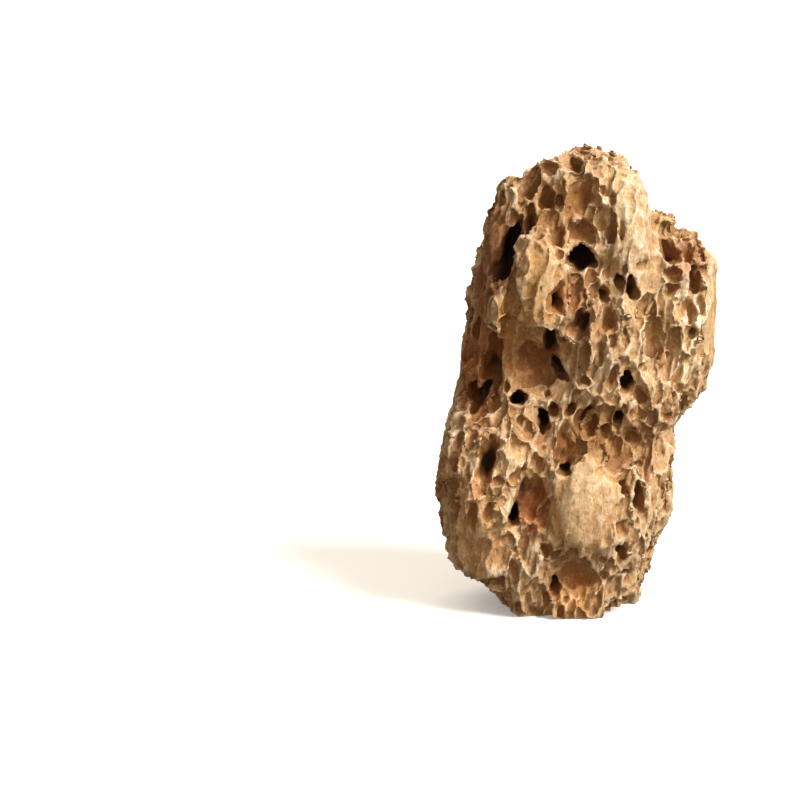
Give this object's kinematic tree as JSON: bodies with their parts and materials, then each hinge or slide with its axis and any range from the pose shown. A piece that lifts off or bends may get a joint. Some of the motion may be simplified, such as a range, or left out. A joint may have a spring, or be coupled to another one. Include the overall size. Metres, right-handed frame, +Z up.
{
  "type": "aquarium rock",
  "caption": "Tall weathered clay rock for an aquarium, eaten into deep pockets between sharp pale crests, standing on a flat broken base.",
  "frame": {"origin": "on the flat base, on the ground under the middle of the stone", "axes": "+Z up along the stone's height, -Y towards its show face, +X to the right of someone who looks at the show face"},
  "size_m": [0.167, 0.122, 0.2719],
  "materials": {
    "weathered_clay": "matte, rough"
  },
  "bodies": {
    "root": {"rock": "weathered_clay"}
  },
  "joints": []
}
